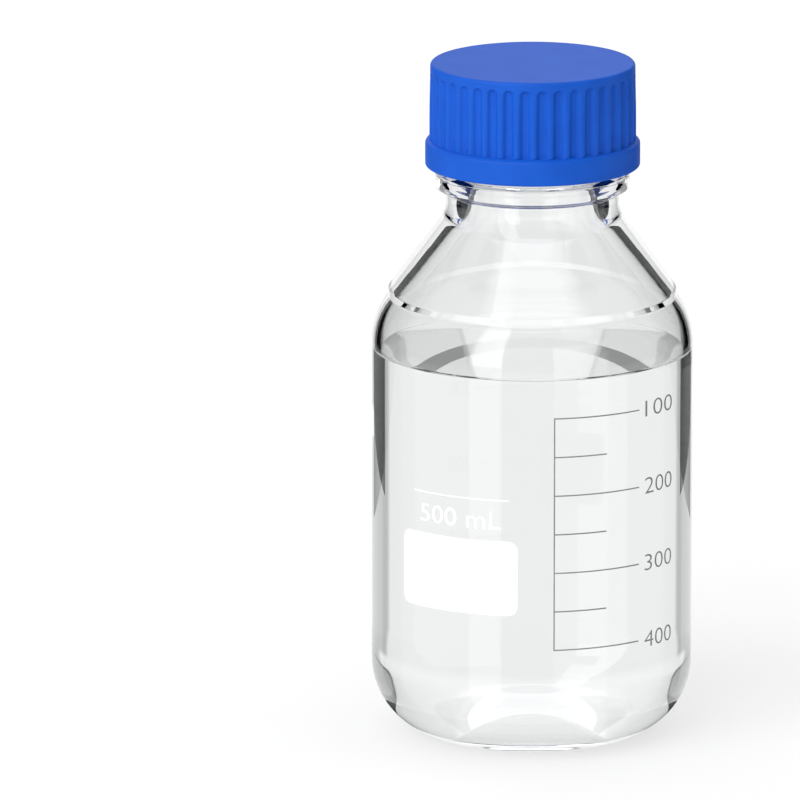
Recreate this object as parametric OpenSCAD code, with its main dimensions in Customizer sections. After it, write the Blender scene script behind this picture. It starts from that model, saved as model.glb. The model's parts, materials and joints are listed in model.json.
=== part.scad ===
// Laboratory reagent bottle with a screw cap, millimetres.
// The base stands on z = 0 with the bottle's axis on Z. The front is towards -Y.

/* [Body] */
// Outer diameter of the body
body_d = 86; // [78:1:96]
// Glass thickness of the body wall
wall = 2.5; // [1.8:0.1:3.2]
// Height at which the straight body wall ends
body_top = 105.8; // [98:0.1:110]
// Radius of the shoulder's curve
shoulder_r = 22.9; // [18:0.1:26]
// Angle through which the shoulder curves inwards
shoulder_turn = 36.3; // [30:0.1:42]
// Height of the small upright land above the shoulder's curve
shoulder_land = 1.8; // [0.8:0.1:2.6]

/* [Base] */
// Outer diameter of the ring that the bottle stands on
foot_d = 56; // [50:0.5:62]
// Width of the ring that the bottle stands on
foot_w = 1.5; // [1:0.1:3]
// Height at which the outer heel's curve meets the body
heel_h = 19.4; // [16:0.1:22]
// Height of the hollow under the base, at its centre
push_up = 3; // [2:0.1:4]
// Glass thickness of the base
base_t = 5; // [4:0.1:6.5]
// Radius of the curve inside the heel
inner_heel_r = 15; // [12:0.5:18]

/* [Neck] */
// Outer diameter of the neck between shoulder and collar
neck_d = 46.2; // [44:0.1:48]
// Glass thickness where the inside of the neck meets the cone
neck_wall = 5.6; // [4.6:0.1:6.6]
// Height at which the cone's line meets the neck
neck_z = 142.1; // [139:0.1:143]
// Radius of the curve from the cone into the neck
neck_fillet = 9; // [6:0.5:10]
// Outer diameter of the collar under the cap
collar_d = 52; // [50:0.1:53]
// Height of the collar's underside
collar_z = 149.1; // [148:0.1:150]
// Thickness of the collar
collar_h = 3.8; // [3:0.1:4.6]
// How much lower the collar's underside is at the neck than at its edge
collar_slope = 1.3; // [0.6:0.1:2]

/* [Mouth and thread] */
// Height of the top of the glass rim
rim_z = 177.1; // [176:0.1:178]
// Thickness of the glass between the mouth's bore and the rim's bead
rim_t = 3; // [2.4:0.1:4]
// Diameter of the glass between the turns of the thread
thread_root_d = 41.8; // [41:0.1:42.2]
// Height of the thread over the glass between its turns
thread_h = 1.5; // [1.2:0.1:1.6]
// Rise of the thread in one turn
thread_pitch = 4; // [3.6:0.1:4.4]
// Number of turns of the thread on the glass
thread_turns = 2; // [1.5:0.25:2]
// Height of the thread's first crest
thread_z = 159.6; // [159.1:0.1:160.6]
// Half the width of a thread ridge at its root
ridge_half = 1.2; // [1:0.05:1.3]
// Gap between the cap's thread and the glass thread's lower flank
thread_clear = 0.15; // [0.1:0.05:0.3]
// Height of the bead round the rim that holds the pouring ring
bead_h = 3.6; // [3:0.1:4]
// Depth of the groove under the bead
groove_depth = 0.7; // [0.4:0.1:0.9]
// Height of the groove under the bead
groove_h = 2; // [1.6:0.1:2.4]

/* [Pouring ring] */
// Outer diameter of the pouring ring
ring_d = 42; // [41.6:0.1:42.2]
// Thickness of the pouring ring round the glass bead
ring_wall = 1.4; // [1.2:0.1:1.8]
// Thickness of the pouring ring over the rim
ring_top = 1; // [0.8:0.1:1.4]
// Gap between the pouring ring and the glass
ring_fit = 0.05; // [0.02:0.01:0.1]
// How much lower the ring's lip is at the bore than at its crest
ring_slope = 0.5; // [0.2:0.1:0.6]

/* [Seal] */
// Diameter of the sealing disc
seal_d = 43.7; // [43.2:0.1:44]
// Thickness of the sealing disc
seal_t = 2.3; // [1.8:0.1:2.8]
// Gap between the disc and the parts that it seals
seal_gap = 0.05; // [0.02:0.01:0.1]

/* [Cap] */
// Height of the cap from its flange to its top
cap_h = 27.8; // [27:0.1:28.5]
// Thickness of the cap's top
cap_top_t = 2.1; // [1.6:0.1:2.8]
// Gap between the cap's thread and the ring or glass that it passes over
cap_clear = 0.35; // [0.3:0.05:0.6]
// Height of the cap's thread over the wall between its turns
cap_thread_h = 1.85; // [1.6:0.05:1.95]
// Gap round the disc in the cap
seal_side_gap = 0.15; // [0.1:0.05:0.3]
// Height of the narrower pocket that keeps the disc in the cap
pocket_h = 3.2; // [2.9:0.1:4]
// Thickness of the cap's wall over the grip ribs
cap_wall = 4.45; // [4.2:0.05:4.8]
// How much narrower the ribbed wall is at the top than at the flange
rib_draft = 0.3; // [0:0.1:0.6]
// Number of grip ribs
rib_count = 38; // [30:1:42]
// Radius of the rounded back of a grip rib
rib_r = 1.1; // [0.9:0.05:1.2]
// Radius of the cap's rounded top edge
cap_edge_r = 1; // [0.6:0.1:1.6]
// How far the flange stands out over the ribs
flange_w = 1.05; // [0.75:0.05:1.8]
// Height of the flange
flange_h = 7.1; // [5:0.1:8]
// Depth of the slope on the flange's upper edge
flange_slope = 1.3; // [0.6:0.1:1.6]

/* [Enamel marks] */
// Thickness of the fired enamel
enamel_t = 0.06; // [0.04:0.01:0.1]
// Width of the lines of the scale
line_w = 0.35; // [0.25:0.05:0.5]
// Height of the lowest tick of the scale
scale_z = 31.8; // [27:0.1:36]
// Distance between two ticks
tick_pitch = 10.55; // [9:0.05:11.5]
// Number of ticks
tick_count = 7; // [5:2:7]
// Distance round the glass from the front to the upright line
scale_at = 5.4; // [2:0.1:10]
// Length of a long tick round the glass
long_tick = 25.3; // [20:0.1:28]
// Length of a short tick round the glass
short_tick = 14.8; // [10:0.1:18]
// Width of the writing panel round the glass
panel_w = 35.3; // [28:0.1:40]
// Height of the writing panel
panel_h = 20.3; // [15:0.1:26]
// Height of the writing panel's lower edge
panel_z = 41.2; // [34:0.1:44]
// Radius of the writing panel's corners
panel_corner = 2.6; // [1:0.1:4]
// Distance round the glass from the front to the writing panel's near edge
panel_at = 4.2; // [2:0.1:10]
// Height of the thin rule over the panel
rule_z = 72.7; // [68:0.1:76]
// Length of the rule round the glass
rule_w = 28.8; // [20:0.1:34]
// Distance round the glass from the front to the middle of the rule
rule_at = 21.1; // [18:0.1:24]
// Distance round the glass from the front to the side panel's near edge
side_at = 60.4; // [56:0.1:66]
// Width of the side panel round the glass
side_w = 24; // [12:0.5:40]
// Height of the side panel
side_h = 8.7; // [6:0.1:12]
// Height of the side panel's lower edge
side_z = 81.3; // [76:0.1:86]
// Radius of the side panel's corners
side_corner = 1.2; // [0.5:0.1:2]

/* [Hidden] */
$fn = 96;

body_r = body_d / 2;
inner_r = body_r - wall;
neck_r = neck_d / 2;
neck_inner_r = neck_r - neck_wall;
foot_r = foot_d / 2;
root_r = thread_root_d / 2;
collar_r = collar_d / 2;
ring_r = ring_d / 2;
bead_r = ring_r - ring_wall;
bore_r = bead_r - rim_t;
groove_r = bead_r - groove_depth;
bead_z = rim_z - bead_h;
groove_z = bead_z - groove_h;
collar_top = collar_z + collar_h;
// Small radii that break the glass edges
edge_r = 0.6;
rim_edge_r = 1.2;
arc_steps = 10;

// Heel: an arc that is upright at the body and ends on the foot
heel_in = body_r - foot_r;
heel_r = (heel_in * heel_in + heel_h * heel_h) / (2 * heel_in);
heel_sweep = asin(heel_h / heel_r);

// Shoulder curve, land and cone
shoulder_c = [body_r - shoulder_r, body_top];
curve_end = shoulder_c + shoulder_r * [cos(shoulder_turn), sin(shoulder_turn)];
land_top = curve_end + [0, shoulder_land];
cone_angle = atan2(land_top[0] - neck_r, neck_z - land_top[1]);
neck_tangent = neck_fillet * tan(cone_angle / 2);
inner_curve_end = shoulder_c + (shoulder_r - wall) * [cos(shoulder_turn), sin(shoulder_turn)];
inner_cone_angle = atan2(inner_curve_end[0] - neck_inner_r, neck_z - inner_curve_end[1]);
// Below the collar the mouth's bore widens a little, down to the neck's inner corner
bore_z = collar_z + 0.4;
inner_corner = [neck_inner_r, neck_z];
inner_taper = atan2(neck_inner_r - bore_r, bore_z - neck_z);
inner_fillet = neck_fillet + neck_wall / 2;
inner_tangent = inner_fillet * tan((inner_cone_angle - inner_taper) / 2);

// Stack of ring, disc and cap over the rim
ring_z = rim_z + ring_fit;
ring_crest_z = ring_z + ring_top;
seal_z = ring_crest_z + seal_gap;
cap_inner_z = seal_z + seal_t + seal_gap;
cap_z1 = cap_inner_z + cap_top_t;
cap_z0 = cap_z1 - cap_h;
flange_z1 = cap_z0 + flange_h;
// The disc's pocket also clears the ring, and the cap's thread clears ring and glass
pocket_r = max(seal_d / 2, ring_r) + seal_side_gap;
cap_thread_r = max(ring_r, root_r) + cap_clear;
cap_bore_r = cap_thread_r + cap_thread_h;
crest_r = cap_bore_r + cap_wall;
valley_r = crest_r - rib_r;
flange_r = crest_r + flange_w;

// Thread ridges: both have the same flank slope, so the flanks stay parallel
flank_slope = 0.4;
// How far a ridge is sunk into the wall that carries it
sink = 0.4;
steps_per_turn = 36;
runout_steps = 5;
cap_thread_drop = 2 * ridge_half - flank_slope * (cap_bore_r - root_r) + thread_clear;

// Points of an arc round a centre, from angle a0 to angle a1
function arc(c, r, a0, a1, n = arc_steps) =
    [for (i = [0:n]) c + r * [cos(a0 + (a1 - a0) * i / n), sin(a0 + (a1 - a0) * i / n)]];

// Points of a floor that rises by rise from its rim at radius r, at height z, to the axis
function bell(r, z, rise, n = arc_steps) =
    [for (i = [0:n]) [r * (1 - i / n), z + rise * (1 + cos(180 * (1 - i / n))) / 2]];

// Points of the hollow under the base, from its rim at radius r up to the axis
function hollow(r, rise, n = 2 * arc_steps) =
    [for (i = [0:n]) let (share = cos(90 * i / n)) [r * share, rise * sqrt(1 - pow(share, 4))]];

function reversed(points) = [for (i = [len(points) - 1:-1:0]) points[i]];

// Outline of the glass from the axis under the base up to the rim
outside = concat(
    reversed(hollow(foot_r - foot_w, push_up)),
    arc([body_r - heel_r, heel_h], heel_r, -heel_sweep, 0),
    arc(shoulder_c, shoulder_r, 0, shoulder_turn),
    [land_top],
    arc([neck_r + neck_fillet, neck_z + neck_tangent], neck_fillet, 180 + cone_angle, 180),
    [[neck_r, collar_z - collar_slope]],
    arc([collar_r - edge_r, collar_z + edge_r], edge_r, -90, 0, 4),
    arc([collar_r - edge_r, collar_top - edge_r], edge_r, 0, 90, 4),
    [[root_r, collar_top], [root_r, groove_z], [groove_r, groove_z],
     [groove_r, bead_z], [bead_r, bead_z]],
    arc([bead_r - edge_r, rim_z - edge_r], edge_r, 0, 90, 4)
);

// Outline of the hollow from the rim down to the axis on the floor
floor_r = inner_r - inner_heel_r;
inside = concat(
    arc([bore_r + rim_edge_r, rim_z - rim_edge_r], rim_edge_r, 90, 180, 5),
    [[bore_r, bore_z]],
    arc(inner_corner + inner_tangent * [-sin(inner_taper), cos(inner_taper)]
        + inner_fillet * [cos(inner_taper), sin(inner_taper)], inner_fillet,
        180 + inner_taper, 180 + inner_cone_angle),
    reversed(arc(shoulder_c, shoulder_r - wall, 0, shoulder_turn)),
    arc([floor_r, base_t + inner_heel_r], inner_heel_r, 0, -90),
    bell(floor_r, base_t, push_up)
);

// One point of a ridge: side is +1 above its middle and -1 below
function ridge_point(wall_r, tip_r, grow, side, at_tip, turn, z) =
    let (out = tip_r > wall_r ? 1 : -1,
         buried = wall_r - out * sink,
         r = at_tip ? buried + (tip_r - buried) * grow : buried,
         half = ridge_half - flank_slope * out * (r - wall_r))
    [r * cos(turn), r * sin(turn), z + side * half];

// Helical ridge from wall_r to tip_r, which runs out at both ends
module thread_ridge(wall_r, tip_r, z0, turns) {
    n = round(turns * steps_per_turn);
    least = 0.3 * sink / (abs(tip_r - wall_r) + sink);
    rings = [for (i = [0:n])
        let (turn = 360 * turns * i / n,
             z = z0 + thread_pitch * turns * i / n,
             grow = max(least, min(1, i / runout_steps, (n - i) / runout_steps)))
        each [ridge_point(wall_r, tip_r, grow, -1, false, turn, z),
              ridge_point(wall_r, tip_r, grow, -1, true, turn, z),
              ridge_point(wall_r, tip_r, grow, 1, true, turn, z),
              ridge_point(wall_r, tip_r, grow, 1, false, turn, z)]];
    sides = [for (i = [0:n - 1], j = [0:3])
        let (a = 4 * i + j, b = 4 * i + (j + 1) % 4)
        each [[a, b, b + 4], [a, b + 4, a + 4]]];
    ends = [[0, 3, 2], [0, 2, 1], [4 * n, 4 * n + 1, 4 * n + 2], [4 * n, 4 * n + 2, 4 * n + 3]];
    faces = concat(sides, ends);
    // A ridge that points inwards has its faces turned round, so that they look outwards
    polyhedron(rings, tip_r > wall_r ? faces : [for (f = faces) [f[2], f[1], f[0]]]);
}

module glass_bottle() {
    color([0.86, 0.91, 0.92, 0.45]) union() {
        rotate_extrude() polygon(concat(outside, inside));
        thread_ridge(root_r, root_r + thread_h, thread_z, thread_turns);
    }
}

// Snaps over the bead, with its hook in the groove and its lip sloping back into the bore
module pouring_ring() {
    hook_r = groove_r + ring_fit;
    lip_r = bore_r + ring_fit;
    crest_in = bead_r - ring_top;
    color([0.13, 0.32, 0.78]) rotate_extrude() polygon(concat(
        [[lip_r, ring_z], [bead_r + ring_fit, ring_z], [bead_r + ring_fit, bead_z - ring_fit],
         [hook_r, bead_z - ring_fit], [hook_r, groove_z + ring_fit]],
        [[ring_r, groove_z + ring_fit]],
        arc([ring_r - edge_r, ring_crest_z - edge_r], edge_r, 0, 90, 4),
        [[crest_in, ring_crest_z], [lip_r, ring_crest_z - ring_slope]]
    ));
}

module seal_disc() {
    color([0.93, 0.93, 0.9]) translate([0, 0, seal_z]) cylinder(h = seal_t, d = seal_d);
}

// The ribbed wall as seen from above
module rib_section() {
    circle(r = valley_r);
    for (i = [0:rib_count - 1])
        rotate(-90 + 360 * i / rib_count) translate([valley_r, 0]) circle(r = rib_r, $fn = 24);
}

module cap_grip() {
    top_r = crest_r - rib_draft;
    intersection() {
        translate([0, 0, cap_z0]) linear_extrude(height = cap_h) rib_section();
        rotate_extrude() polygon(concat(
            [[0, cap_z0], [crest_r + rib_draft, cap_z0]],
            arc([top_r - cap_edge_r, cap_z1 - cap_edge_r], cap_edge_r, 0, 90, 8),
            [[0, cap_z1]]
        ));
    }
}

module cap_flange() {
    rotate_extrude() polygon(concat(
        [[cap_bore_r, cap_z0]],
        arc([flange_r - edge_r, cap_z0 + edge_r], edge_r, -90, 0, 4),
        [[flange_r, flange_z1 - flange_slope], [flange_r - 0.3 * flange_slope,
          flange_z1 - 0.4 * flange_slope], [flange_r - flange_slope, flange_z1],
         [cap_bore_r, flange_z1]]
    ));
}

module screw_cap() {
    pocket_z = cap_inner_z - pocket_h;
    below = cap_z0 - 1;
    color([0.13, 0.32, 0.78]) union() {
        difference() {
            union() {
                cap_grip();
                cap_flange();
            }
            rotate_extrude() polygon([
                [0, below], [cap_bore_r + edge_r, below], [cap_bore_r + edge_r, cap_z0],
                [cap_bore_r, cap_z0 + edge_r], [cap_bore_r, pocket_z],
                [pocket_r, pocket_z], [pocket_r, cap_inner_z], [0, cap_inner_z]
            ]);
        }
        thread_ridge(cap_bore_r, cap_thread_r, thread_z - cap_thread_drop, thread_turns);
    }
}

// Turns a distance round the glass into an angle
function round_glass(distance) = distance / body_r * 180 / PI;

// Enamel patch on the glass: from distance x0 to x1 round it and from height z0 to z1
module enamel(x0, x1, z0, z1) {
    rotate(-90 + round_glass(x0)) rotate_extrude(angle = round_glass(x1 - x0))
        translate([body_r, z0]) square([enamel_t, z1 - z0]);
}

// Enamel patch with round corners, the middle of its width at distance x
module round_panel(x, w, h, z, corner) {
    corner_x = body_r * sin(round_glass(w / 2)) - corner;
    corner_z = h / 2 - corner;
    intersection() {
        enamel(x - w / 2 - 1, x + w / 2 + 1, z - 1, z + h + 1);
        rotate(round_glass(x)) translate([0, 0, z + h / 2]) rotate([90, 0, 0])
            linear_extrude(height = 2 * body_r) polygon(concat(
                arc([corner_x, corner_z], corner, 0, 90, 5),
                arc([-corner_x, corner_z], corner, 90, 180, 5),
                arc([-corner_x, -corner_z], corner, 180, 270, 5),
                arc([corner_x, -corner_z], corner, 270, 360, 5)
            ));
    }
}

module scale_print() {
    top = scale_z + (tick_count - 1) * tick_pitch;
    color([0.45, 0.45, 0.45]) union() {
        enamel(scale_at, scale_at + line_w, scale_z - line_w / 2, top + line_w / 2);
        for (i = [0:tick_count - 1]) {
            z = scale_z + i * tick_pitch;
            long = i % 2 == 0 ? long_tick : short_tick;
            enamel(scale_at, scale_at + long, z - line_w / 2, z + line_w / 2);
        }
    }
}

module writing_panel() {
    color([0.97, 0.97, 0.97])
        round_panel(-panel_at - panel_w / 2, panel_w, panel_h, panel_z, panel_corner);
}

module marking_rule() {
    color([0.97, 0.97, 0.97])
        enamel(-rule_at - rule_w / 2, -rule_at + rule_w / 2, rule_z - line_w / 2, rule_z + line_w / 2);
}

module side_panel() {
    color([0.97, 0.97, 0.97])
        round_panel(-side_at - side_w / 2, side_w, side_h, side_z, side_corner);
}

glass_bottle();
pouring_ring();
seal_disc();
screw_cap();
scale_print();
writing_panel();
marking_rule();
side_panel();
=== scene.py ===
# %% [markdown]
# # A laboratory reagent bottle
# The bottle is pressed and blown from clear borosilicate glass and closed with a ribbed screw cap.
# The CAD model gives every size and carries the motion. This script gives each piece its finished
# surface and its material, and never moves what the CAD says.

# %% Load the frame
import json
import math

import bmesh
import bpy
import numpy as np
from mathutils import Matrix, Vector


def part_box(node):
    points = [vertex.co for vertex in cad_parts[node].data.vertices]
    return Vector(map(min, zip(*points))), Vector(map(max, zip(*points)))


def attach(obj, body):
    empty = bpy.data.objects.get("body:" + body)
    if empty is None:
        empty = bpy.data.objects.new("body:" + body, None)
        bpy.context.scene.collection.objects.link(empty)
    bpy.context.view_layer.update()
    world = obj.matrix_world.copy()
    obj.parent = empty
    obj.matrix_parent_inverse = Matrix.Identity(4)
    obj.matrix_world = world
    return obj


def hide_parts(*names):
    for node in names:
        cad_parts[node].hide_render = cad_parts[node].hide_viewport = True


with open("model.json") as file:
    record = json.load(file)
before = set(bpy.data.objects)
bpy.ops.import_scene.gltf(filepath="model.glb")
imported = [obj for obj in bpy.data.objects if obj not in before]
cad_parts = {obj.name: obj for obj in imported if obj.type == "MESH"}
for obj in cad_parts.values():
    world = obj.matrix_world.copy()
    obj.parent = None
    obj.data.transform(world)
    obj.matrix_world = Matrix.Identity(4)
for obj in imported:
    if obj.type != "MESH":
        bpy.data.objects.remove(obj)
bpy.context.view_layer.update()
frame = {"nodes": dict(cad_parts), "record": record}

MM = 0.001
mounts = {m["name"]: m for m in frame["record"]["mounts"]}

# %% [markdown]
# ## The camera
# A long lens from far away shows the bottle's sides almost parallel, as in a catalogue picture.
# The camera looks down a little, so that the cap's top and the liquid's surface show as ellipses.
# It stands to the left of the bottle, which keeps the bottle right of the middle without any shift.

# %% Make the camera
FRAME_PX = 800
PX_PER_MM = 3.73
CAMERA_FAR = 3500.0
CAMERA_DOWN = math.asin(0.232)
AIM = np.array([-35.4, 0.0, 90.1])


def make_camera():
    """The camera stands CAMERA_FAR from its aim, on a line that rises by CAMERA_DOWN to -Y."""
    data = bpy.data.cameras.new("camera")
    data.sensor_width = 36.0
    data.lens = PX_PER_MM * CAMERA_FAR * data.sensor_width / FRAME_PX
    camera = bpy.data.objects.new("camera", data)
    bpy.context.scene.collection.objects.link(camera)
    back = np.array([0.0, -math.cos(CAMERA_DOWN), math.sin(CAMERA_DOWN)])
    camera.location = (AIM + CAMERA_FAR * back) * MM
    camera.rotation_euler = (math.pi / 2 - CAMERA_DOWN, 0.0, 0.0)
    data.clip_start, data.clip_end = 0.1, 20.0
    bpy.context.scene.camera = camera
    return camera


camera = make_camera()
print(f"camera: {camera.data.lens:.0f} mm lens, {math.degrees(CAMERA_DOWN):.1f} degrees down")

# %% [markdown]
# ## Small helpers for materials
# Colours are written as the sRGB hex values that a colour picker shows, and one function turns
# them to linear light. One more function adds a node with its settings, values and links.


# %% Colour and node helpers
def colour(hex_code):
    """sRGB hex to linear: c / 12.92 below 0.04045, and ((c + 0.055) / 1.055) ** 2.4 above it."""
    srgb = np.array([int(hex_code[i:i + 2], 16) / 255 for i in (1, 3, 5)])
    linear = np.where(srgb <= 0.04045, srgb / 12.92, ((srgb + 0.055) / 1.055) ** 2.4)
    return (*linear.tolist(), 1.0)


def add(tree, kind, inputs=None, **settings):
    """Adds a node. settings go to the node and inputs to its sockets, each as a link or a value."""
    node = tree.nodes.new(kind)
    for name, value in settings.items():
        setattr(node, name, value)
    for name, value in (inputs or {}).items():
        if isinstance(value, bpy.types.NodeSocket):
            tree.links.new(value, node.inputs[name])
        else:
            node.inputs[name].default_value = value
    return node


def new_material(name):
    """An empty material with its output node: (material, tree, output)."""
    material = bpy.data.materials.new(name)
    material.use_nodes = True
    material.node_tree.nodes.clear()
    return material, material.node_tree, add(material.node_tree, "ShaderNodeOutputMaterial")


# %% [markdown]
# ## Surfaces from profiles
# Glass, ring, disc and cap are all turned shapes. A turned shape is a grid of two parameters:
# one runs along the profile and the other round the axis. Corners of a profile get a fillet,
# because even a crisp glass or plastic edge is rounded and catches a thin line of light.


# %% Profile and grid helpers
WIDE_FILLET = 5.0                 # radius above which an arc counts as wide
SMALL_STEP, WIDE_STEP = math.radians(9), math.radians(2.25)
SHORT_SPAN, PADS, PAD_SHARE = 2.0, (0.25, 1.0), 0.3
TINY = 1e-6


def rounded(corners):
    """Corners (radius, height, fillet) to a profile: each becomes an arc between its two sides.

    An arc starts fillet * tan(turn / 2) before its corner. Wide arcs have more points for each
    degree than small ones, because glass shows every facet of a wide curve as a stripe.
    Straight stretches get extra points near their ends, so that smooth shading stays flat on them.
    """
    path = [np.array(corners[0][:2], float)]
    for before, corner, after in zip(corners, corners[1:], corners[2:]):
        here = np.array(corner[:2], float)
        come = here - np.array(before[:2])
        go = np.array(after[:2]) - here
        come, go = come / np.linalg.norm(come), go / np.linalg.norm(go)
        turn = math.atan2(come[0] * go[1] - come[1] * go[0], come @ go)
        if corner[2] == 0 or abs(turn) < TINY:
            path.append(here)
            continue
        left = np.array([-come[1], come[0]]) * math.copysign(1, turn)
        start = here - come * corner[2] * math.tan(abs(turn) / 2)
        step = WIDE_STEP if corner[2] > WIDE_FILLET else SMALL_STEP
        count = max(2, math.ceil(abs(turn) / step))
        bend = np.linspace(0, abs(turn), count + 1)[:, None]
        path.extend(start + corner[2] * (np.sin(bend) * come + (1 - np.cos(bend)) * left))
    path.append(np.array(corners[-1][:2], float))
    return padded_ends(np.array(path))


def padded_ends(path):
    """Adds points at the distances PADS from both ends of every straight stretch.

    The facets of an arc are shorter than SHORT_SPAN. They get none, because flat facets on a curve
    show as stripes.
    """
    out = [path[:1]]
    for a, b in zip(path, path[1:]):
        length = np.linalg.norm(b - a)
        pads = [p for p in PADS if length > SHORT_SPAN and p < PAD_SHARE * length]
        at = np.array([*pads, *[length - p for p in reversed(pads)], length]) / max(length, TINY)
        out.append(a + at[:, None] * (b - a))
    path = np.concatenate(out)
    keep = np.r_[True, np.linalg.norm(np.diff(path, axis=0), axis=1) > TINY]
    return path[keep]


def bell(edge_r, edge_z, rise, count=36):
    """A floor from the axis outwards: height = edge_z + rise * (1 + cos(pi * r / edge_r)) / 2."""
    r = np.linspace(0, edge_r, count + 1)
    return np.stack([r, edge_z + rise * (1 + np.cos(np.pi * r / edge_r)) / 2], axis=1)


def hollow(edge_r, rise, count=36):
    """The hollow under the base, from the axis out: height = rise * sqrt(1 - (r / edge_r) ** 4)."""
    r = edge_r * np.sin(np.linspace(0, np.pi / 2, count + 1))
    return np.stack([r, rise * np.sqrt(np.clip(1 - (r / edge_r) ** 4, 0, None))], axis=1)


def mesh_object(name, points, quads, triangles=(), materials=(), face_slots=None):
    """A smooth mesh from points in millimetres. Its object stays at the origin."""
    mesh = bpy.data.meshes.new(name)
    faces = [*np.asarray(quads).tolist(), *np.asarray(triangles, int).reshape(-1, 3).tolist()]
    mesh.from_pydata((np.asarray(points) * MM).tolist(), [], faces)
    for material in materials:
        mesh.materials.append(material)
    if face_slots is not None:
        mesh.polygons.foreach_set("material_index", np.asarray(face_slots, np.int32))
    mesh.polygons.foreach_set("use_smooth", np.ones(len(faces), bool))
    mesh.validate()
    mesh.update()
    piece = bpy.data.objects.new(name, mesh)
    bpy.context.scene.collection.objects.link(piece)
    return piece


def turned(name, r, z, materials, row_slots=None):
    """A turned piece: r and z are rows along the profile by columns round the axis, in millimetres.

    Column j stands at the angle 2 * pi * j / columns. A row with no radius is closed to one point.
    A face is wound so that it looks to the right of the profile's run, outwards on a rising side.
    """
    rows, columns = r.shape
    angle = 2 * np.pi * np.arange(columns) / columns
    grid = np.stack([r * np.cos(angle), r * np.sin(angle), z * np.ones_like(r)], axis=2)
    pole = np.all(r < TINY, axis=1)
    width = np.where(pole, 1, columns)
    first = np.concatenate([[0], np.cumsum(width)[:-1]])
    points = np.concatenate([grid[i, :w] for i, w in enumerate(width)])
    ahead = np.roll(np.arange(columns), -1)
    here = np.arange(columns)
    quads, triangles, slots = [], [], [[], []]
    for i in range(rows - 1):
        a, b = first[i], first[i + 1]
        slot = 0 if row_slots is None else row_slots[i]
        if pole[i]:
            triangles.append(np.stack([a + 0 * here, b + ahead, b + here], axis=1))
        elif pole[i + 1]:
            triangles.append(np.stack([a + here, a + ahead, b + 0 * here], axis=1))
        else:
            quads.append(np.stack([a + here, a + ahead, b + ahead, b + here], axis=1))
        slots[int(pole[i] or pole[i + 1])].append(np.full(columns, slot))
    triangles = np.concatenate(triangles) if triangles else ()
    face_slots = np.concatenate([*slots[0], *slots[1]])
    return mesh_object(name, points, np.concatenate(quads), triangles, materials, face_slots)


FLANK = 0.4                       # how far a thread's flank runs along the axis for 1 mm of height
RUN_OUT = 1 / 7                   # turn over which a thread grows at either end


def ridge(angle, z, start_z, pitch, turns, height, half):
    """Height of a helical thread ridge over the wall, at each height z and angle round the axis.

    The ridge's middle is at start_z + pitch * turn, for turn = angle / (2 pi) + 0, 1, ... to turns.
    Across, it is a trapezoid whose flanks fall by 1 / FLANK. Along, it grows over RUN_OUT turns.
    """
    total = np.zeros(np.broadcast(angle, z).shape)
    for lap in range(math.ceil(turns)):
        turn = angle / (2 * np.pi) + lap
        grow = np.clip(np.minimum(turn, turns - turn) / RUN_OUT, 0, 1)
        across = (half - np.abs(z - start_z - pitch * turn)) / FLANK
        total = np.maximum(total, np.minimum(np.clip(across, 0, height), height * grow))
    return total


# %% [markdown]
# ## Borosilicate glass and its liquid
# Borosilicate 3.3 bends light a little less than window glass (IOR 1.473) and is nearly
# colourless, with a faint grey-green in its thick rims. Blown walls are never quite even, so a very
# shallow, wide noise tilts the surface and makes the edges of reflections waver. Where the wall is
# wet, light passes from glass (1.473) to water (1.333), so the wet faces carry the ratio of the two.
# Where the glass is thick, rays that meet many surfaces gather in black patches, which real glass
# doesn't show. So a ray that has met a handful of surfaces goes straight on: light is simplified.

# %% Glass and liquid materials
GLASS_IOR, WATER_IOR = 1.473, 1.333
GLASS_TINT, WATER_TINT, SHADOW_TINT = "#FBFCFC", "#FDFEFE", "#F7F7F7"
WAVE, WAVE_WIDTH = 0.02, 18.0     # depth and width of the wall's unevenness, in mm
STRAIGHT_AFTER = 5                # surfaces that a ray may meet before it goes straight on


def clear_material(name, tint, ior, wave=0.0):
    """Clear glass or liquid: it bends sharp rays and lets soft light through for a pale shadow."""
    material, tree, output = new_material(name)
    shader = add(tree, "ShaderNodeBsdfPrincipled", {
        "Base Color": colour(tint), "Roughness": 0.0, "IOR": ior, "Transmission Weight": 1.0})
    if wave:
        place = add(tree, "ShaderNodeTexCoord")
        noise = add(tree, "ShaderNodeTexNoise", {
            "Vector": place.outputs["Object"], "Scale": 1 / (WAVE_WIDTH * MM), "Detail": 1.0})
        bump = add(tree, "ShaderNodeBump", {
            "Height": noise.outputs["Fac"], "Distance": wave * MM, "Strength": 1.0})
        tree.links.new(bump.outputs["Normal"], shader.inputs["Normal"])
    light = add(tree, "ShaderNodeLightPath")
    soft = add(tree, "ShaderNodeMath", {
        0: light.outputs["Is Shadow Ray"], 1: light.outputs["Is Diffuse Ray"]}, operation="MAXIMUM")
    late = add(tree, "ShaderNodeMath", {0: light.outputs["Ray Depth"], 1: STRAIGHT_AFTER},
               operation="GREATER_THAN")
    straight = add(tree, "ShaderNodeMath", {0: soft.outputs[0], 1: late.outputs[0]},
                   operation="MAXIMUM")
    passing = add(tree, "ShaderNodeBsdfTransparent", {"Color": colour(SHADOW_TINT)})
    mix = add(tree, "ShaderNodeMixShader", {
        0: straight.outputs[0], 1: shader.outputs[0], 2: passing.outputs[0]})
    tree.links.new(mix.outputs[0], output.inputs["Surface"])
    return material


def open_material(name):
    """The liquid's side: the wet wall bends the light already, so this only passes it on."""
    material, tree, output = new_material(name)
    passing = add(tree, "ShaderNodeBsdfTransparent")
    tree.links.new(passing.outputs[0], output.inputs["Surface"])
    return material


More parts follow.
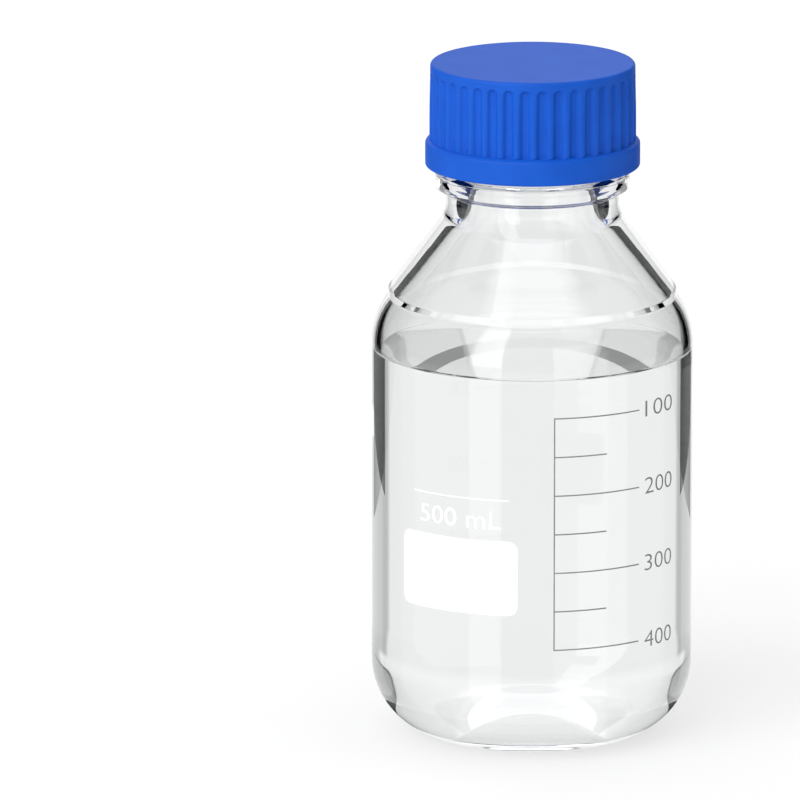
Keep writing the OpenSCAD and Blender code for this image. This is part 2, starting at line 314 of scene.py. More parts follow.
glass = clear_material("borosilicate_glass_blown", GLASS_TINT, GLASS_IOR, wave=WAVE)
wet_glass = clear_material("borosilicate_glass_wet", GLASS_TINT, GLASS_IOR / WATER_IOR, wave=WAVE)
water_top = clear_material("water_surface", WATER_TINT, WATER_IOR)
water_side = open_material("water_against_glass")
print("clear materials:", glass.name, wet_glass.name, water_top.name, water_side.name)

# %% [markdown]
# ## The glass bottle
# The profile starts on the axis under the base, runs out over the hollow and the foot ring, up the
# body, over the shoulder and neck to the rim, and back down inside to the axis. The thread stands
# out of the neck as a helical ridge, so there the radius also depends on the angle.

# %% Make the glass bottle
BODY_R = mounts["body_hold"]["dims"]["r_mm"]
NECK_R = mounts["neck_hold"]["dims"]["r_mm"]
RIM_Z = round(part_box("glass_bottle")[1].z / MM, 1)
COLUMNS = 224
FOOT_IN, FOOT_OUT, PUSH_UP, HEEL_H = 26.5, 28.0, 3.0, 19.4
WALL, BASE_T, INNER_HEEL_R = 2.5, 5.0, 15.0
SHOULDER_Z, SHOULDER_FILLET, SHOULDER_THINNING = 113.31, 22.2, 0.8
LAND_R, LAND_Z0, LAND_Z1, LAND_FILLET = 38.56, 119.36, 121.16, 0.5
NECK_Z, NECK_FILLET, INNER_NECK_FILLET, BORE_FILLET = 142.1, 9.0, 11.8, 6.0
COLLAR_Z0, COLLAR_Z1, COLLAR_R, COLLAR_SLOPE = 149.1, 152.9, 26.0, 1.3
INNER_NECK_R, BORE_R, BORE_Z = 17.5, 16.6, 149.5
ROOT_R, THREAD_R, BEAD_R, GROOVE_R = 20.9, 22.4, 19.6, 18.9
BEAD_H, GROOVE_H, RIM_FLAT, RIM_FILLET = 3.6, 2.0, 1.5, 1.2
EDGE_FILLET, ROOT_FILLET, GROOVE_FILLET = 0.6, 0.8, 0.3
THREAD_Z, THREAD_TURNS, RIDGE_HALF, PITCH = 159.6, 2.0, 1.2, 4.0
THREAD_MARGIN, THREAD_ROW = 1.5, 0.33
LEVEL, MENISCUS, MENISCUS_W = 104.0, 1.6, 1.5


def heel_corner():
    """The heel is one arc from the foot's edge to the body.

    Its radius is (in ** 2 + HEEL_H ** 2) / (2 * in), where in is how far the foot's edge lies inside
    the body. The corner is where the arc's two end tangents meet, so that the fillet of that radius
    starts exactly on the foot's edge.
    """
    inward = BODY_R - FOOT_OUT
    radius = (inward ** 2 + HEEL_H ** 2) / (2 * inward)
    return BODY_R, inward * (radius - inward) / HEEL_H, radius


def glass_outside():
    """The outer profile, from the axis under the base to the rim."""
    thread_rows = np.arange(THREAD_Z - THREAD_MARGIN,
                            THREAD_Z + PITCH * THREAD_TURNS + THREAD_MARGIN, THREAD_ROW)
    bead_z, groove_z = RIM_Z - BEAD_H, RIM_Z - BEAD_H - GROOVE_H
    low = rounded([
        (FOOT_IN, 0, 0), (FOOT_OUT, 0, 0), heel_corner(),
        (BODY_R, SHOULDER_Z, SHOULDER_FILLET), (LAND_R, LAND_Z0, LAND_FILLET),
        (LAND_R, LAND_Z1, EDGE_FILLET), (NECK_R, NECK_Z, NECK_FILLET),
        (NECK_R, COLLAR_Z0 - COLLAR_SLOPE, ROOT_FILLET), (COLLAR_R, COLLAR_Z0, EDGE_FILLET),
        (COLLAR_R, COLLAR_Z1, EDGE_FILLET), (ROOT_R, COLLAR_Z1, ROOT_FILLET),
        (ROOT_R, thread_rows[0], 0)])
    high = rounded([
        (ROOT_R, thread_rows[-1], 0), (ROOT_R, groove_z, GROOVE_FILLET),
        (GROOVE_R, groove_z, GROOVE_FILLET), (GROOVE_R, bead_z, GROOVE_FILLET),
        (BEAD_R, bead_z, GROOVE_FILLET), (BEAD_R, RIM_Z, EDGE_FILLET),
        (BEAD_R - RIM_FLAT, RIM_Z, 0)])
    middle = np.stack([np.full(len(thread_rows), ROOT_R), thread_rows], axis=1)
    return np.concatenate([hollow(FOOT_IN, PUSH_UP)[:-1], low[:-1], middle, high[1:]])


def glass_inside(contact_z):
    """The inner profile, from the rim to the axis, with a point where the liquid ends."""
    inner_r = BODY_R - WALL
    wall = rounded([
        (BEAD_R - RIM_FLAT, RIM_Z, 0), (BORE_R, RIM_Z, RIM_FILLET), (BORE_R, BORE_Z, BORE_FILLET),
        (INNER_NECK_R, NECK_Z, INNER_NECK_FILLET),
        (inner_r, SHOULDER_Z - SHOULDER_THINNING, SHOULDER_FILLET - WALL),
        (inner_r, BASE_T, INNER_HEEL_R), (inner_r - INNER_HEEL_R, BASE_T, 0)])
    apart = 0.05
    above = wall[wall[:, 1] > contact_z + apart]
    below = wall[wall[:, 1] < contact_z - apart]
    mark = [[np.interp(contact_z, wall[::-1, 1], wall[::-1, 0]), contact_z]]
    floor = bell(inner_r - INNER_HEEL_R, BASE_T, PUSH_UP)[::-1]
    return np.concatenate([above, mark, below[:-1], floor])


def make_glass(contact_z):
    """The bottle as one closed mesh of glass: both profiles turned, with the thread's ridge."""
    outer, inner = glass_outside(), glass_inside(contact_z)
    profile = np.concatenate([outer, inner[1:]])
    angle = 2 * np.pi * np.arange(COLUMNS) / COLUMNS
    z = profile[:, 1:]
    r = np.repeat(profile[:, :1], COLUMNS, axis=1)
    rows = slice(0, len(outer))
    on_neck = np.abs(profile[rows, :1] - ROOT_R) < TINY
    r[rows] += on_neck * ridge(angle, z[rows], THREAD_Z, PITCH, THREAD_TURNS,
                               THREAD_R - ROOT_R, RIDGE_HALF)
    wet = np.arange(len(profile)) >= len(outer)
    wet &= profile[:, 1] <= contact_z + TINY
    return turned("bottle_glass", r, z, [glass, wet_glass], (wet[:-1] & wet[1:]).astype(int))


bottle = make_glass(LEVEL + MENISCUS)
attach(bottle, "bottle")
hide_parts("glass_bottle")
print("glass:", len(bottle.data.polygons), "faces")

# %% [markdown]
# ## The liquid
# Clear water fills the bottle to just under the shoulder. Its surface is flat, but it climbs the
# wall in a meniscus of a millimetre or two, which shows as a dark line round the bottle. The liquid
# is one closed mesh: a top that bends light, and sides that lie a hair inside the wall.


# %% Make the liquid
LIQUID_GAP, LIQUID_COLUMNS = 0.02, 192
FIRST_STEP, STEP_GROWTH, STEPS = 0.12, 1.25, 18    # rows of the meniscus, from the wall inwards


def make_liquid(contact_z):
    """Floor and wall lie LIQUID_GAP inside the glass, and the top meets them in a meniscus.

    Its height is level + meniscus * exp(-distance from the wall / width).
    """
    wall = glass_inside(contact_z)
    wall = wall[wall[:, 1] <= contact_z + TINY][::-1]
    slope = np.gradient(wall, axis=0)
    inward = np.stack([-slope[:, 1], slope[:, 0]], axis=1)
    inward /= np.linalg.norm(inward, axis=1, keepdims=True)
    side = wall + LIQUID_GAP * inward
    side[0, 0] = 0.0
    side[-1] = wall[-1] - [LIQUID_GAP, 0]
    edge_r = side[-1, 0]
    away = np.r_[0, FIRST_STEP * STEP_GROWTH ** np.arange(STEPS), edge_r]
    top = np.stack([edge_r - away, LEVEL + MENISCUS * np.exp(-away / MENISCUS_W)], axis=1)
    profile = np.concatenate([side, top[1:]])
    r = np.repeat(profile[:, :1], LIQUID_COLUMNS, axis=1)
    slots = (np.arange(len(profile) - 1) < len(side) - 1).astype(int)
    return turned("water_fill", r, profile[:, 1:], [water_top, water_side], slots)


liquid = make_liquid(LEVEL + MENISCUS)
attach(liquid, "bottle")
print("liquid:", len(liquid.data.polygons), "faces")

# %% [markdown]
# ## Moulded polypropylene
# The cap and the pouring ring are injection-moulded polypropylene: a strong blue with a satin skin.
# Spark-eroded moulds leave a fine grain, and the plastic lets light a little way in, which softens
# the shading between the ribs.


# %% Polypropylene, silicone and enamel
CLOUD_WIDTH, CLOUD_RANGE = 9.0, (0.3, 0.7)         # width in mm and contrast of the faint clouds
PLASTIC_IOR, SATIN_LEVEL, GLOW_DEPTH = 1.49, 0.2, 0.6    # GLOW_DEPTH: how far light enters, in mm


def moulded_material(name, base, darker, roughness, grain_mm, grain_depth_mm, glow=0.0):
    """Moulded plastic, rubber or enamel: a colour that varies faintly, and a fine grain."""
    material, tree, output = new_material(name)
    place = add(tree, "ShaderNodeTexCoord")
    cloud = add(tree, "ShaderNodeTexNoise", {
        "Vector": place.outputs["Object"], "Scale": 1 / (CLOUD_WIDTH * MM), "Detail": 2.0})
    shade = add(tree, "ShaderNodeValToRGB", {"Fac": cloud.outputs["Fac"]})
    for stop, at, hex_code in zip(shade.color_ramp.elements, CLOUD_RANGE, (darker, base)):
        stop.position, stop.color = at, colour(hex_code)
    grain = add(tree, "ShaderNodeTexNoise", {
        "Vector": place.outputs["Object"], "Scale": 1 / (grain_mm * MM), "Detail": 3.0})
    bump = add(tree, "ShaderNodeBump", {
        "Height": grain.outputs["Fac"], "Distance": grain_depth_mm * MM, "Strength": 1.0})
    shader = add(tree, "ShaderNodeBsdfPrincipled", {
        "Base Color": shade.outputs["Color"], "Roughness": roughness, "IOR": PLASTIC_IOR,
        "Specular IOR Level": SATIN_LEVEL, "Subsurface Weight": glow,
        "Subsurface Scale": GLOW_DEPTH * MM, "Normal": bump.outputs["Normal"]})
    tree.links.new(shader.outputs[0], output.inputs["Surface"])
    return material


blue_pp = moulded_material("polypropylene_blue_satin", "#0A57C7", "#0852C0", 0.5, 0.5, 0.012, 0.05)
silicone = moulded_material("silicone_white_matte", "#E9E8E2", "#E2E1DA", 0.6, 0.4, 0.01, 0.1)
white_enamel = moulded_material("enamel_white_fired", "#FCFCFC", "#F6F6F6", 0.5, 0.3, 0.004)
grey_enamel = moulded_material("enamel_grey_fired", "#8C8C8C", "#7C7C7C", 0.5, 0.3, 0.004)
print("solid materials:", blue_pp.name, silicone.name, white_enamel.name, grey_enamel.name)

# %% [markdown]
# ## The screw cap
# The cap's wall carries round-backed grip ribs that end on a plain flange. The top edge is rounded
# and stays plain: the valleys between the ribs end under it in arched tips. Inside, the wall
# carries the mating thread, and a narrower pocket under the top holds the sealing disc.

# %% Make the screw cap
CAP_Z0, CAP_Z1 = (round(corner.z / MM, 2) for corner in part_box("screw_cap"))
RIBS, COLUMNS_PER_RIB = 38, 12
VALLEY_R, RIB_H, RIB_HALF = 26.55, 1.1, 0.27
FLANGE_R, FLANGE_Z1, FLANGE_SLOPE = 28.7, CAP_Z0 + 7.1, 0.7
FLANGE_FILLETS = (0.6, 0.8, 0.4)                   # at the foot, at the top and at the ribs
STEP_IN, STEP_UNDER = 0.2, 0.6                     # the flange's top runs in under ribs and valleys
GRIP_R0, GRIP_R1, TOP_EDGE_R = 27.8, 27.35, 0.8
BAND_H = 1.3                                       # plain band over the valleys
TIP_H, TIP_ROWS, WALL_ROWS, ROW_GAP = 3.3, 18, 8, 0.2    # close rows where the valleys end
EDGE_POINTS, ROW_PAD, TOP_FLAT, TOP_ROWS = 9, 0.3, 1.2, 8
CAP_BORE_R, CAP_THREAD_R, POCKET_R, POCKET_H = 23.2, 21.35, 22.0, 3.2
POCKET_FILLET, STEP_FILLET, FOOT_BEVEL, BEVEL_FILLET = 0.3, 0.2, 0.6, 0.1
CAP_TOP_T, THREAD_PLAY, CAP_THREAD_ROW = 2.1, 0.15, 0.35
CAP_INNER_Z = CAP_Z1 - CAP_TOP_T
THREAD_DROP = 2 * RIDGE_HALF - FLANK * (CAP_BORE_R - ROOT_R) + THREAD_PLAY


def rib_lift(angle, z):
    """Height of the ribs over the valleys: a rounded back, sqrt(1 - (t / half) ** 2).

    t is the distance from a rib's middle, as a share of the distance between two ribs.
    A valley ends under the plain band like a groove cut by a ball: above its end point the distance
    from the valley's middle line is sqrt(across ** 2 + above ** 2), which gives it an arched tip.
    """
    pitch = 2 * np.pi * (VALLEY_R + RIB_H) / RIBS
    t = ((angle + np.pi / 2) * RIBS / (2 * np.pi) + 0.5) % 1 - 0.5
    across = (0.5 - np.abs(t)) * pitch
    above = np.clip(z - (CAP_Z1 - BAND_H - 0.5 * pitch), 0, None)
    share = 0.5 - np.minimum(np.sqrt(across ** 2 + above ** 2) / pitch, 0.5)
    return RIB_H * np.sqrt(np.clip(1 - (share / RIB_HALF) ** 2, 0, 1))


def cap_rows(angle):
    """Radius and height of the cap's outer rows, from the flange's foot to the top's middle."""
    foot_fillet, top_fillet, rib_fillet = FLANGE_FILLETS
    flange = rounded([
        (CAP_BORE_R + FOOT_BEVEL, CAP_Z0, 0), (FLANGE_R, CAP_Z0, foot_fillet),
        (FLANGE_R, FLANGE_Z1 - FLANGE_SLOPE, top_fillet),
        (GRIP_R0 - STEP_IN, FLANGE_Z1, rib_fillet), (VALLEY_R - STEP_UNDER, FLANGE_Z1, 0)])
    bend = np.linspace(0, np.pi / 2, EDGE_POINTS)[1:]
    edge_z = CAP_Z1 - TOP_EDGE_R
    wall_z = np.r_[FLANGE_Z1, FLANGE_Z1 + ROW_PAD,
                   np.linspace(FLANGE_Z1 + 1, edge_z - TIP_H - ROW_GAP, WALL_ROWS),
                   np.linspace(edge_z - TIP_H, edge_z, TIP_ROWS),
                   edge_z + TOP_EDGE_R * np.sin(bend)]
    share = np.clip((wall_z - FLANGE_Z1) / (edge_z - FLANGE_Z1), 0, 1)
    limit = GRIP_R0 + (GRIP_R1 - GRIP_R0) * share
    limit[-len(bend):] = GRIP_R1 - TOP_EDGE_R * (1 - np.cos(bend))
    ribbed = np.minimum(VALLEY_R + rib_lift(angle[None, :], wall_z[:, None]), limit[:, None])
    edge_r = GRIP_R1 - TOP_EDGE_R
    top = np.r_[edge_r - ROW_PAD, np.linspace(edge_r - TOP_FLAT, 0, TOP_ROWS)]
    flange_r = np.repeat(flange[:-1, :1], len(angle), axis=1)
    top_r = np.repeat(top[:, None], len(angle), axis=1)
    r = np.concatenate([flange_r, ribbed, top_r])
    z = np.concatenate([flange[:-1, 1], wall_z, np.full(len(top), CAP_Z1)])
    return r, z[:, None]


def cap_inside(angle):
    """Radius and height of the cap's inner rows, from the middle of its ceiling to its foot."""
    start_z, step_z = THREAD_Z - THREAD_DROP, CAP_INNER_Z - POCKET_H
    thread_rows = np.arange(start_z - THREAD_MARGIN,
                            start_z + PITCH * THREAD_TURNS + THREAD_MARGIN, CAP_THREAD_ROW)[::-1]
    above = rounded([
        (0, CAP_INNER_Z, 0), (POCKET_R, CAP_INNER_Z, POCKET_FILLET),
        (POCKET_R, step_z, STEP_FILLET), (CAP_BORE_R, step_z, STEP_FILLET),
        (CAP_BORE_R, thread_rows[0], 0)])
    below = rounded([
        (CAP_BORE_R, thread_rows[-1], 0), (CAP_BORE_R, CAP_Z0 + FOOT_BEVEL, BEVEL_FILLET),
        (CAP_BORE_R + FOOT_BEVEL, CAP_Z0, 0)])
    middle = np.stack([np.full(len(thread_rows), CAP_BORE_R), thread_rows], axis=1)
    profile = np.concatenate([above[:-1], middle, below[1:]])
    r = np.repeat(profile[:, :1], len(angle), axis=1)
    on_wall = np.abs(profile[:, :1] - CAP_BORE_R) < TINY
    r -= on_wall * ridge(angle, profile[:, 1:], start_z, PITCH, THREAD_TURNS,
                         CAP_BORE_R - CAP_THREAD_R, RIDGE_HALF)
    return r, profile[:, 1:]


def make_cap():
    """The cap as one closed turned mesh: down the inside, then up the outside to the top."""
    columns = RIBS * COLUMNS_PER_RIB
    angle = 2 * np.pi * np.arange(columns) / columns
    outer_r, outer_z = cap_rows(angle)
    inner_r, inner_z = cap_inside(angle)
    return turned("cap_shell", np.concatenate([inner_r[:-1], outer_r]),
                  np.concatenate([inner_z[:-1], outer_z]), [blue_pp])


cap = make_cap()
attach(cap, "cap")
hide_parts("screw_cap")
print("cap:", len(cap.data.polygons), "faces,", RIBS, "ribs")

# %% [markdown]
# ## Pouring ring and sealing disc
# Both sit under the cap. Their CAD solids already have the right shape, so they keep it and only
# get their real finish: blue polypropylene for the ring, white silicone for the disc.

# %% Finish the ring and the disc
for node_name, material in (("pouring_ring", blue_pp), ("seal_disc", silicone)):
    mesh = frame["nodes"][node_name].data
    mesh.materials.clear()
    mesh.materials.append(material)
    print("finished", node_name, "with", material.name)

# %% [markdown]
# ## Fired enamel marks
# Marks on laboratory glass are screen-printed enamel, fired until they fuse with the surface. They
# are a few hundredths of a millimetre thick, so each is a thin closed plate that bends round the
# body. A plate is a grid of distance round the glass by height, laid on the glass radius.

# %% Sizes of the marks
ENAMEL_T, ENAMEL_GAP, LINE_W, CORNER_POINTS = 0.04, 0.02, 0.35, 9
SCALE_AT, SCALE_Z0, TICK_PITCH, TICKS = 5.4, 31.8, 10.55, 7
LONG_TICK, SHORT_TICK = 25.3, 14.8
PANEL_X, PANEL_Z, PANEL_W, PANEL_H, PANEL_CORNER = -21.85, 51.35, 35.3, 20.3, 2.6
SIDE_X, SIDE_Z, SIDE_W, SIDE_H, SIDE_CORNER = -72.4, 85.65, 24.0, 8.7, 1.2
RULE_X, RULE_Z, RULE_W = -21.1, 72.7, 28.8
print("scale:", TICKS, "ticks, every", TICK_PITCH, "mm from", SCALE_Z0, "mm up")

# %% [markdown]
# A plate's front and back layer have two points in each column, one at its lower and one at its
# upper edge. The columns stand closer in the round corners.


# %% Make the marks
def on_glass(x, z, lift):
    """Distance x round the glass and height z to a point: angle = x / body radius from the front."""
    x, z = np.broadcast_arrays(x, z)
    angle = x / BODY_R - np.pi / 2
    r = BODY_R + lift
    return np.stack([r * np.cos(angle), r * np.sin(angle), z], axis=-1)


def plate(x, z, width, height, corner=0.0):
    """(points, quads) of a thin plate with round corners, its middle at (x, z).

    Each column's half height is height / 2, less corner - sqrt(corner ** 2 - reach ** 2) near the
    ends, where reach is how far the column lies into the corner. A back layer and an edge close it.
    """
    bend = np.linspace(0, np.pi / 2, CORNER_POINTS if corner else 1)
    ends = corner * (1 - np.cos(bend))
    inner = np.linspace(0, width / 2 - corner, max(2, math.ceil(width / 2)))
    half_x = np.unique(np.round(np.r_[inner, width / 2 - ends], 6))
    column_x = np.r_[-half_x[::-1], half_x[1:]]
    reach = np.clip(np.abs(column_x) - (width / 2 - corner), 0, corner)
    half_z = height / 2 - corner + np.sqrt(np.clip(corner ** 2 - reach ** 2, 0, None))
    level = np.array([-1.0, 1.0])
    front = on_glass(x + column_x[:, None], z + level * half_z[:, None], ENAMEL_GAP + ENAMEL_T)
    back = on_glass(x + column_x[:, None], z + level * half_z[:, None], ENAMEL_GAP)
    points = np.concatenate([front.reshape(-1, 3), back.reshape(-1, 3)])
    n = len(column_x)
    i = np.arange(n - 1)
    f, b = 2 * i, 2 * i + 2 * n
    return points, np.concatenate([
        np.stack([f, f + 2, f + 3, f + 1], axis=1), np.stack([b, b + 1, b + 3, b + 2], axis=1),
        np.stack([f, b, b + 2, f + 2], axis=1), np.stack([f + 1, f + 3, b + 3, b + 1], axis=1),
        [[0, 1, 2 * n + 1, 2 * n]], [[2 * n - 2, 4 * n - 2, 4 * n - 1, 2 * n - 1]]])


def plates(name, parts, material):
    """One piece of several plates."""
    offset, points, quads = 0, [], []
    for part_points, part_quads in parts:
        points.append(part_points)
        quads.append(part_quads + offset)
        offset += len(part_points)
    piece = mesh_object(name, np.concatenate(points), np.concatenate(quads), (), [material])
    piece.data.polygons.foreach_set("use_smooth", np.zeros(len(piece.data.polygons), bool))
    return piece


def make_scale():
    """The upright line, and ticks that start from its right edge: long at every second one."""
    top = SCALE_Z0 + (TICKS - 1) * TICK_PITCH
    parts = [plate(SCALE_AT + LINE_W / 2, (SCALE_Z0 + top) / 2, LINE_W, top - SCALE_Z0 + LINE_W)]
    for i in range(TICKS):
        long = (LONG_TICK if i % 2 == 0 else SHORT_TICK) - LINE_W
        parts.append(plate(SCALE_AT + LINE_W + long / 2, SCALE_Z0 + i * TICK_PITCH, long, LINE_W))
    return plates("scale_lines", parts, grey_enamel)


marks = {
    "scale_print": make_scale(),
    "writing_panel": plates("write_on_panel", [
        plate(PANEL_X, PANEL_Z, PANEL_W, PANEL_H, PANEL_CORNER)], white_enamel),
    "marking_rule": plates("thin_rule", [plate(RULE_X, RULE_Z, RULE_W, LINE_W)], white_enamel),
    "side_panel": plates("side_patch", [
        plate(SIDE_X, SIDE_Z, SIDE_W, SIDE_H, SIDE_CORNER)], white_enamel),
}
for node_name, piece in marks.items():
    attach(piece, "bottle")
    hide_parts(node_name)
    print("mark:", piece.name, len(piece.data.polygons), "faces")

# %% [markdown]
# ## Numbers
# The numbers beside the long ticks and the capacity over the panel are plain sans-serif figures. A
# text object gives their outline. It is made a mesh, cut finer so that it can bend, and then
# wrapped round the glass like the other marks.

# %% Make the numbers
NUMBER_X, NUMBER_H, NUMBER_W = 38.7, 4.4, 11.6
CAPACITY_X, CAPACITY_Z, CAPACITY_H, CAPACITY_W = -20.75, 67.1, 4.9, 24.3
# In the text object's own units: its depth, how far its strokes are thinned, the distance at which
# points are joined and the width above which an edge is cut
TEXT_DEPTH, THINNER, JOIN, LONG_EDGE = 0.5, 0.012, 1e-5, 0.15


def wrapped_text(name, words, x, z, width, height, thin, material):
    """words as enamel on the glass, in a box of width by height mm with its middle at (x, z)."""
    curve = bpy.data.curves.new(name, "FONT")
    curve.body = words
    curve.offset = -thin
    curve.extrude = TEXT_DEPTH
    curve.resolution_u = 4
    source = bpy.data.objects.new(name, curve)
    bpy.context.scene.collection.objects.link(source)
    bpy.context.view_layer.update()
    mesh = bpy.data.meshes.new_from_object(source)
    bpy.data.objects.remove(source)
    work = bmesh.new()
    work.from_mesh(mesh)
    bmesh.ops.remove_doubles(work, verts=work.verts, dist=JOIN)
    bmesh.ops.subdivide_edges(work, cuts=2, use_grid_fill=False, edges=[
        e for e in work.edges if abs(e.verts[0].co.x - e.verts[1].co.x) > LONG_EDGE])
    bmesh.ops.recalc_face_normals(work, faces=work.faces)
    work.to_mesh(mesh)
    work.free()
    flat = np.empty(3 * len(mesh.vertices), np.float32)
    mesh.vertices.foreach_get("co", flat)
    flat = flat.reshape(-1, 3).astype(float)
    low, high = flat.min(axis=0), flat.max(axis=0)
    share = (flat - low) / (high - low)
    at_x = x + (share[:, 0] - 0.5) * width
    at_z = z + (share[:, 1] - 0.5) * height
    points = on_glass(at_x, at_z, ENAMEL_GAP + ENAMEL_T * share[:, 2])
    mesh.vertices.foreach_set("co", (points * MM).astype(np.float32).ravel())
    mesh.materials.clear()
    mesh.materials.append(material)
    mesh.update()
    piece = bpy.data.objects.new(name, mesh)
    bpy.context.scene.collection.objects.link(piece)
    return piece


for i, value in enumerate((400, 300, 200, 100)):
    number = wrapped_text(f"number_{value}", str(value), NUMBER_X, SCALE_Z0 + 2 * i * TICK_PITCH,
                          NUMBER_W, NUMBER_H, THINNER, grey_enamel)
    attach(number, "bottle")
capacity = wrapped_text("capacity_mark", "500 mL", CAPACITY_X, CAPACITY_Z, CAPACITY_W, CAPACITY_H,
                        0.0, white_enamel)
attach(capacity, "bottle")
print("numbers made, capacity mark has", len(capacity.data.polygons), "faces")

# %% [markdown]
# ## The studio's cards
# Clear glass shows only what it bends and mirrors, so the studio matters more than any lamp. The
# bottle stands on a wide white floor. Two black cards stand behind it, left and right: the edges of
# the glass bend the view sideways on to them and turn dark. Hardly any light reaches the table
# close round the foot, so a grey ring under the heel darkens what the glass shows there. Only the
# glass sees the black cards and the ring, and only the glass doesn't see the floor.

# %% Make the floor, the black cards and the ring
FLOOR_HALF = 6000.0
FLAG_IN, FLAG_OUT, FLAG_Y, FLAG_Z0, FLAG_Z1 = 92.0, 420.0, 143.0, 20.0, 330.0
SHADE_IN, SHADE_OUT, SHADE_Z, SHADE_COLUMNS = 32.0, 47.0, -0.4, 96


def card_material(name, hex_code):
    """Plain matt card of one colour."""
    material, tree, output = new_material(name)
    shader = add(tree, "ShaderNodeBsdfDiffuse", {"Color": colour(hex_code)})
    tree.links.new(shader.outputs[0], output.inputs["Surface"])
    return material


def make_floor():
    """A wide white floor. Below the horizon, glass sees the studio's white instead of it."""
    h = FLOOR_HALF
    floor = mesh_object("floor", [(-h, -h, 0), (h, -h, 0), (h, h, 0), (-h, h, 0)],
                        [[0, 1, 2, 3]], (), [card_material("floor_white_card", "#FDFDFD")])
    floor.visible_transmission = False
    floor.visible_glossy = False
    return floor


def seen_by_glass_alone(card):
    """Hides a card from the camera, from soft light and from shadows."""
    card.visible_camera = card.visible_diffuse = card.visible_shadow = False
    return card


def make_flag(side):
    """A black card behind the bottle, on side -1 or 1."""
    x0, x1 = side * FLAG_IN, side * FLAG_OUT
    return seen_by_glass_alone(mesh_object(f"flag_{'left' if side < 0 else 'right'}", [
        (x0, FLAG_Y, FLAG_Z0), (x1, FLAG_Y, FLAG_Z0), (x1, FLAG_Y, FLAG_Z1), (x0, FLAG_Y, FLAG_Z1)],
        [[0, 1, 2, 3]], (), [card_material("studio_flag_black", "#0C0C0C")]))


def make_contact_shade():
    """A flat grey ring just under the floor, between two circles round the axis."""
    n = SHADE_COLUMNS
    angle = 2 * np.pi * np.arange(n) / n
    rims = [np.stack([r * np.cos(angle), r * np.sin(angle), np.full(n, SHADE_Z)], axis=1)
            for r in (SHADE_IN, SHADE_OUT)]
    return seen_by_glass_alone(mesh_object("contact_shade", np.vstack(rims), [
        [i, i + n, (i + 1) % n + n, (i + 1) % n] for i in range(n)],
        (), [card_material("studio_contact_shade", "#484A4C")]))


stage = [make_floor(), make_flag(-1), make_flag(1), make_contact_shade()]
print("stage:", [piece.name for piece in stage])

# %% [markdown]
# ## The studio's light
# All the light comes from the world around the bottle, painted as soft-edged panels by direction.
# Glass gets a white backdrop, an overhead soft box and two soft boxes beside the camera, of which
# the left one gives the tall, window-like reflections. Matt surfaces get even light with a broad
# key from the left front, which shapes the ribs of the cap. The camera itself sees plain white.


# %% Helpers for the panels
def near(tree, value, middle, half, soft):
    """1 where value lies within half of middle, falling smoothly to 0 over soft."""
    away = add(tree, "ShaderNodeMath", {0: value, 1: middle}, operation="SUBTRACT")
    far = add(tree, "ShaderNodeMath", {0: away.outputs[0]}, operation="ABSOLUTE")
    return add(tree, "ShaderNodeMapRange", {
        "Value": far.outputs[0], "From Min": half, "From Max": half + soft, "To Min": 1.0,
        "To Max": 0.0}, interpolation_type="SMOOTHSTEP").outputs["Result"]


def panel(tree, below, mask, brightness):
    """Lays a panel over what is below it: below * (1 - mask) + brightness * mask."""
    return add(tree, "ShaderNodeMix", {"Factor": mask, "A": below, "B": brightness},
               data_type="FLOAT").outputs["Result"]


def panels(tree, azimuth, elevation, rows, base):
    """The brightness in a direction: the base, with each panel laid over the ones before it."""
    either = add(tree, "ShaderNodeMath", {0: azimuth}, operation="ABSOLUTE").outputs[0]
    value = base
    for mirrored, middle_a, half_a, middle_e, half_e, soft, brightness in rows:
        mask = add(tree, "ShaderNodeMath", {
            0: near(tree, either if mirrored else azimuth, middle_a, half_a, soft),
            1: near(tree, elevation, middle_e, half_e, soft)}, operation="MULTIPLY").outputs[0]
        value = panel(tree, value, mask, brightness)
    return value


# %% Make the world
# Panels that glass mirrors and bends. A mirrored panel stands on both sides of the bottle.
# Mirrored, azimuth, half width, elevation, half height, soft edge (all in degrees), brightness
GLASS_PANELS = [
    (True, 0, 42, -47, 43, 3, 0.92),        # white table behind the bottle
    (True, 57, 12, -47, 43, 4, 0.5),        # its far corners, in shade
    (True, 120, 64, 28, 30, 6, 0.45),       # dim room at both sides and behind the camera
    (True, 0, 50, 28, 30, 4, 1.0),          # white backdrop
    (True, 90, 180, 90, 32, 4, 2.2),        # overhead soft box
    (False, -145.5, 11.5, 29, 29, 1, 3.0),  # window-like soft box, left of the camera
    (False, -145.5, 11.5, -15, 15, 1, 2.0),  # and its lower, dimmer end
    (False, 144.5, 20, 0, 30, 1, 1.5),      # weaker soft box, right of the camera
]
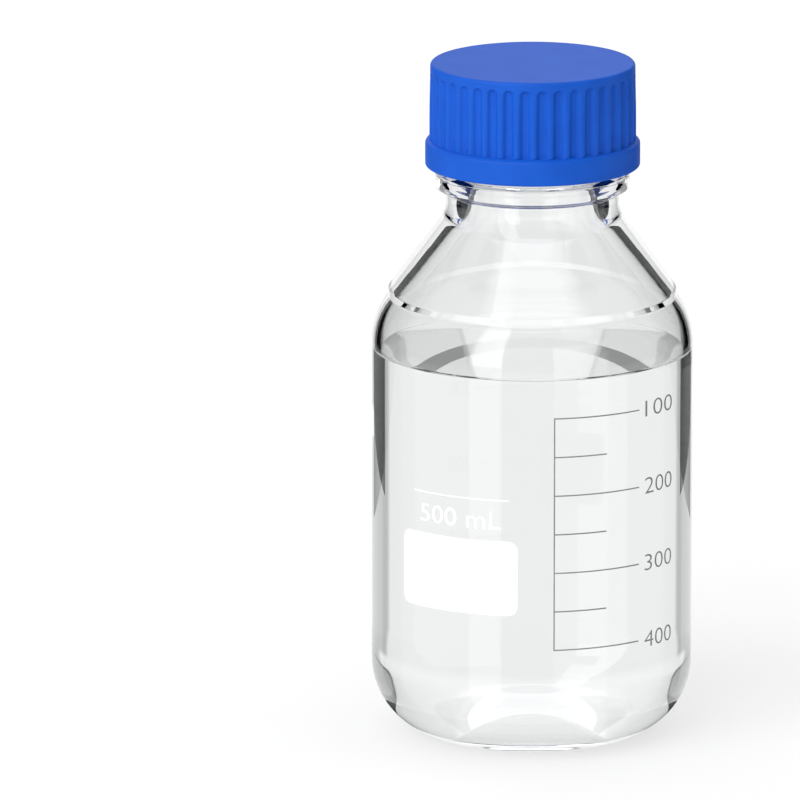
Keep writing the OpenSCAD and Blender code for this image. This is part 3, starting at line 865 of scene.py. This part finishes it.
# The same for matt surfaces: even light all round, with a broad key from the left front
MATT_PANELS = [
    (False, 100, 55, 0, 35, 20, 0.35),      # shaded right side of the room
    (False, -80, 35, 0, 35, 20, 0.6),       # and its left side
    (False, -140, 22, 38, 22, 20, 2.8),     # key
]
GLASS_BASE, MATT_BASE = 0.8, 0.89


def make_world():
    """White for the camera, the glass panels for sharp rays and soft light for the matt surfaces.

    The azimuth is 0 behind the bottle and grows to the right. The elevation is 0 at the horizon.
    """
    world = bpy.data.worlds.new("studio")
    world.use_nodes = True
    tree = world.node_tree
    tree.nodes.clear()
    place = add(tree, "ShaderNodeTexCoord")
    axis = add(tree, "ShaderNodeSeparateXYZ", {0: place.outputs["Generated"]})
    turn = add(tree, "ShaderNodeMath", {0: axis.outputs["X"], 1: axis.outputs["Y"]},
               operation="ARCTAN2")
    rise = add(tree, "ShaderNodeMath", {0: axis.outputs["Z"]}, operation="ARCSINE")
    azimuth = add(tree, "ShaderNodeMath", {0: turn.outputs[0]}, operation="DEGREES").outputs[0]
    elevation = add(tree, "ShaderNodeMath", {0: rise.outputs[0]}, operation="DEGREES").outputs[0]
    light = add(tree, "ShaderNodeLightPath")
    matt = panels(tree, azimuth, elevation, MATT_PANELS, MATT_BASE)
    clear = panels(tree, azimuth, elevation, GLASS_PANELS, GLASS_BASE)
    value = panel(tree, matt, light.outputs["Is Singular Ray"], clear)
    value = panel(tree, value, light.outputs["Is Camera Ray"], 1.0)
    studio = add(tree, "ShaderNodeBackground", {"Color": colour("#FFFFFF"), "Strength": value})
    output = add(tree, "ShaderNodeOutputWorld")
    tree.links.new(studio.outputs[0], output.inputs["Surface"])
    bpy.context.scene.world = world


make_world()
print("studio:", len(GLASS_PANELS), "panels for glass,", len(MATT_PANELS), "for matt surfaces")

# %% [markdown]
# ## Picture settings
# The plain sRGB view keeps the backdrop pure white. A ray meets many surfaces in the thick base and
# in the thread, and each of them counts as a bounce, so the limits are well above the usual ones.

# %% Set the view and the bounces
BOUNCES = 32
bpy.context.scene.view_settings.view_transform = "Standard"
cycles = bpy.context.scene.cycles
cycles.max_bounces = cycles.transmission_bounces = cycles.transparent_max_bounces = BOUNCES
print("bounces:", cycles.max_bounces)
